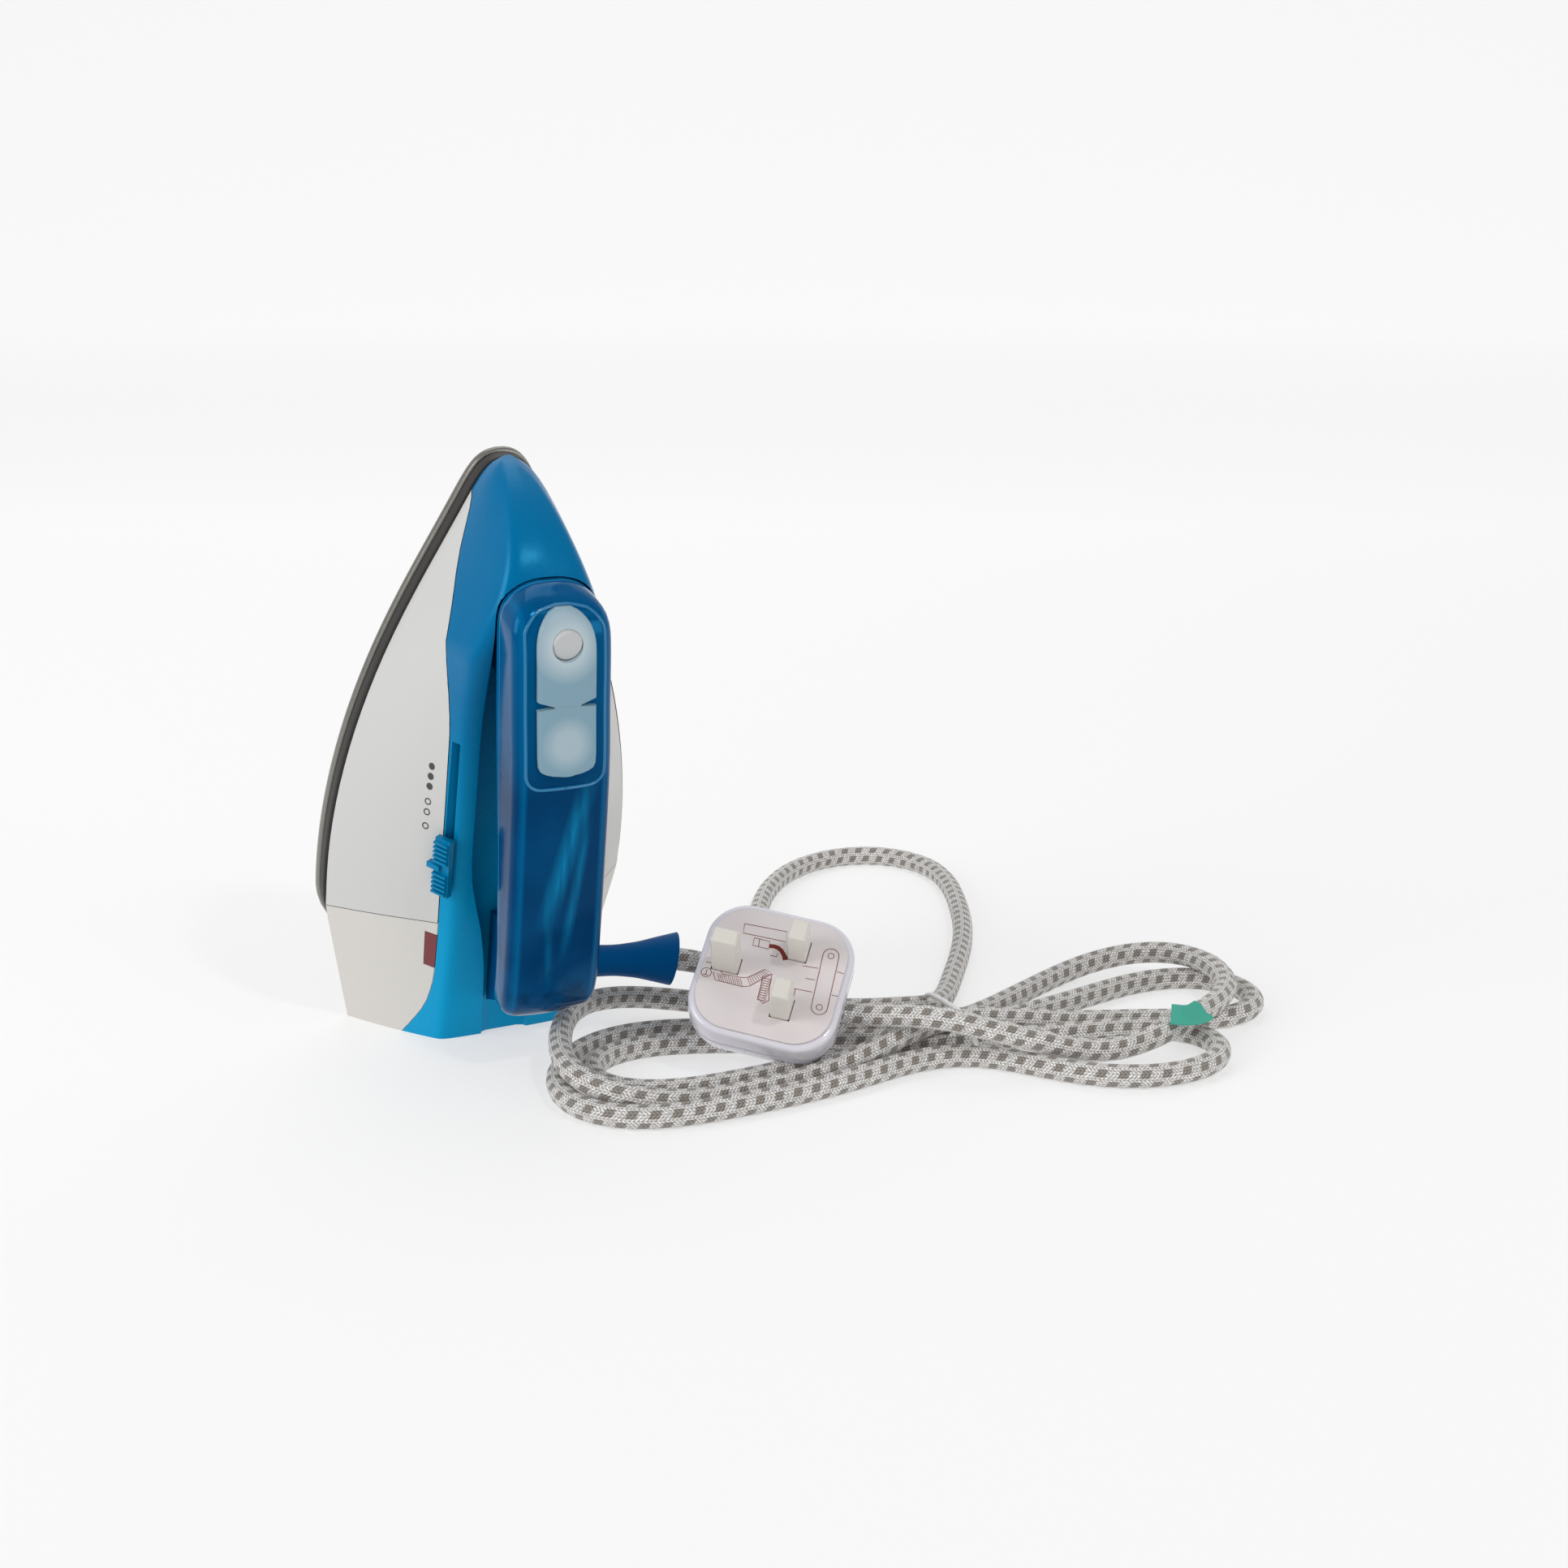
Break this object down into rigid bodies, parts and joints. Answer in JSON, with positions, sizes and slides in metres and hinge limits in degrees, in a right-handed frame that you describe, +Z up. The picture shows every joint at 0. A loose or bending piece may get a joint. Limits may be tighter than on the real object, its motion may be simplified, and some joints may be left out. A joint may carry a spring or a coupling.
{
  "type": "small steam clothes iron",
  "caption": "Small steam clothes iron standing on its heel: steel-rimmed soleplate, white and blue covers, tank in the handle, heat slider, steam button, tied braided flex and three-pin plug.",
  "frame": {"origin": "centre of the heel's contact face, on the floor the iron stands on", "axes": "+Z up from the floor; the soleplate faces -X (tipped back), the handle +X; -Y is the iron's left flank with the heat slider; the flex lies towards +Y"},
  "size_m": [0.2751, 0.3133, 0.2068],
  "materials": {
    "sole_metal": "brushed",
    "steel": "plain",
    "brass": "plain",
    "copper": "bimetal",
    "charcoal": "satin",
    "white": "satin",
    "blue": "satin gloss",
    "navy": "satin",
    "tank": "translucent gloss",
    "frost": "frosted",
    "button": "satin",
    "red": "translucent",
    "lamp": "clear",
    "nylon": "plain",
    "silicone": "plain",
    "ceramic": "unglazed",
    "brown": "insulation",
    "mains_blue": "insulation",
    "earth": "insulation",
    "guard": "satin",
    "braid": "woven braid, pale with dark checks",
    "clear": "milky clear",
    "card": "printed card",
    "pin": "moulded caps over brass",
    "tie": "clear strip",
    "tag": "soft"
  },
  "bodies": {
    "iron": {"soleplate": "sole_metal", "heating_element": "steel", "element_terminal_left": "brass", "element_terminal_right": "brass", "steam_chamber_lid": "steel", "lid_screw_a": "steel", "lid_screw_b": "steel", "feed_tube": "silicone", "heat_shield": "charcoal", "side_skirt": "white", "rear_cover": "white", "top_cover": "blue", "pilot_lens": "red", "tank_shell": "tank", "tank_base": "navy", "handle_grip": "navy", "pump_cylinder": "nylon", "pump_spring": "steel", "button_cover": "frost", "thermostat_body": "ceramic", "bimetal_strip": "copper", "contact_blade": "brass", "contact_stud": "steel", "thermal_fuse": "steel", "pilot_lamp": "lamp", "terminal_block": "nylon", "terminal_screw_a": "brass", "terminal_screw_b": "brass", "terminal_screw_c": "brass", "live_lead": "brown", "neutral_lead": "mains_blue", "earth_lead": "earth", "cord_guard": "guard", "cord_lead": "braid", "cord_hank": "braid", "cord_plug_end": "braid", "cord_tie": "tie", "cord_tag": "tag", "plug_base": "clear", "plug_cover": "clear", "plug_card": "card", "plug_fuse": "ceramic", "earth_pin": "pin", "live_pin": "pin", "neutral_pin": "pin"},
    "slider": {"temperature_slider": "blue"},
    "pinion": {"thermostat_pinion": "nylon"},
    "flap": {"fill_flap": "frost", "fill_seal": "silicone"},
    "button": {"steam_button": "button", "pump_plunger": "nylon"}
  },
  "joints": [
    {"name": "temperature_slide", "type": "slide", "parent": "iron", "child": "slider", "axis": [0.2924, 0, 0.9563], "range_m": [0, 0.035]},
    {"name": "thermostat_turn", "type": "hinge", "parent": "iron", "child": "pinion", "pos_m": [0.02159, -0.0155, 0.09456], "axis": [-0.9563, 0, 0.2924], "range_deg": [0, 251]},
    {"name": "fill_flap_hinge", "type": "hinge", "parent": "iron", "child": "flap", "pos_m": [0.09035, 0, 0.1321], "axis": [0, -1, 0], "range_deg": [0, 100]},
    {"name": "steam_press", "type": "slide", "parent": "iron", "child": "button", "axis": [-0.9563, 0, 0.2924], "range_m": [0, 0.0035], "stiffness_N_per_m": 600, "springref_m": -0.001}
  ],
  "couplings": [
    {"joint": "thermostat_turn", "follows": "temperature_slide", "rad_per_m": 125}
  ]
}
